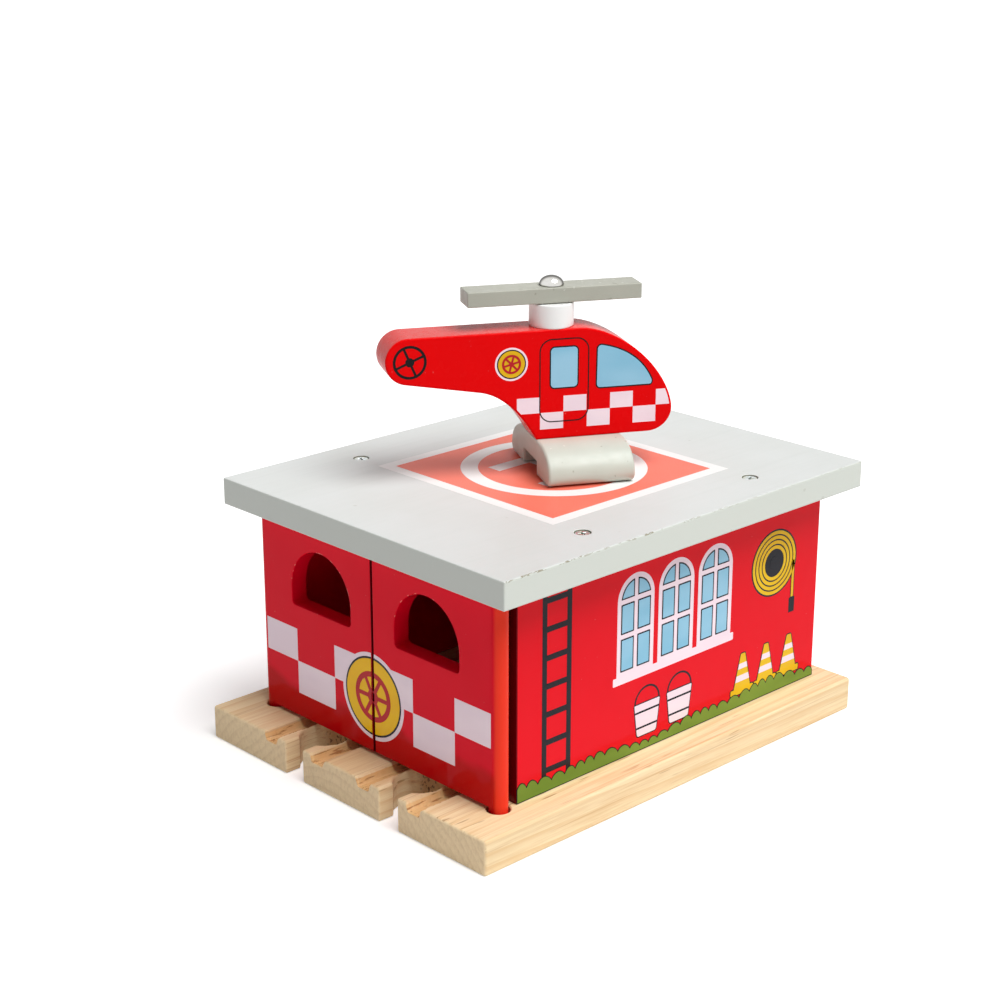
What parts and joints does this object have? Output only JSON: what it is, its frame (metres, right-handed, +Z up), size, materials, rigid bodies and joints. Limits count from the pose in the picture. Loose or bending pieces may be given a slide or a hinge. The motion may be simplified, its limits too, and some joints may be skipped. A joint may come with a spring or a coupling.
{
  "type": "toy fire station",
  "caption": "Wooden toy railway shed with a helipad roof, swinging doors with arched windows, track sockets and a toy helicopter whose rotor turns.",
  "frame": {"origin": "middle of the base board's underside, the bottom centre of the whole object's box", "axes": "+Z up, -Y out of the doors towards the track, +Y to the back wall, +X to the right seen from the front"},
  "size_m": [0.1386, 0.1806, 0.1612],
  "materials": {
    "bare_pine": "bare sanded pine",
    "red_paint": "gloss red paint on wood",
    "grey_paint": "satin grey paint on wood",
    "white_paint": "satin white paint on wood",
    "screw_steel": "zinc plated",
    "polished_steel": "polished"
  },
  "bodies": {
    "station": {"base_board": "bare_pine", "left_wall": "red_paint", "right_wall": "red_paint", "back_wall": "red_paint", "roof_panel": "grey_paint", "roof_screw_left_front": "screw_steel", "roof_screw_left_back": "screw_steel", "roof_screw_right_front": "screw_steel", "roof_screw_right_back": "screw_steel", "base_screw_left_front": "screw_steel", "base_screw_left_back": "screw_steel", "base_screw_right_front": "screw_steel", "base_screw_right_back": "screw_steel", "back_screw_left": "screw_steel", "back_screw_right": "screw_steel", "wall_dowel_left_low": "bare_pine", "wall_dowel_left_high": "bare_pine", "wall_dowel_right_low": "bare_pine", "wall_dowel_right_high": "bare_pine"},
    "left_door": {"left_door": "red_paint"},
    "right_door": {"right_door": "red_paint"},
    "helicopter": {"helicopter_fuselage": "red_paint", "helicopter_skid": "grey_paint", "helicopter_hub": "white_paint", "skid_screw_front": "screw_steel", "skid_screw_back": "screw_steel", "rotor_screw": "polished_steel"},
    "rotor": {"rotor_blade": "grey_paint"}
  },
  "joints": [
    {"name": "left_door_hinge", "type": "hinge", "parent": "station", "child": "left_door", "pos_m": [-0.056, -0.0721, 0.048], "axis": [0, 0, -1], "range_deg": [-15, 200]},
    {"name": "right_door_hinge", "type": "hinge", "parent": "station", "child": "right_door", "pos_m": [0.056, -0.0721, 0.048], "axis": [0, 0, 1], "range_deg": [-15, 200]},
    {"name": "helicopter_lift", "type": "slide", "parent": "station", "child": "helicopter", "axis": [0, 0, 1], "range_m": [0, 0.055]},
    {"name": "rotor_spin", "type": "hinge", "parent": "helicopter", "child": "rotor", "pos_m": [-0.00048, 0.00612, 0.153], "axis": [0, 0, 1], "continuous": true}
  ]
}
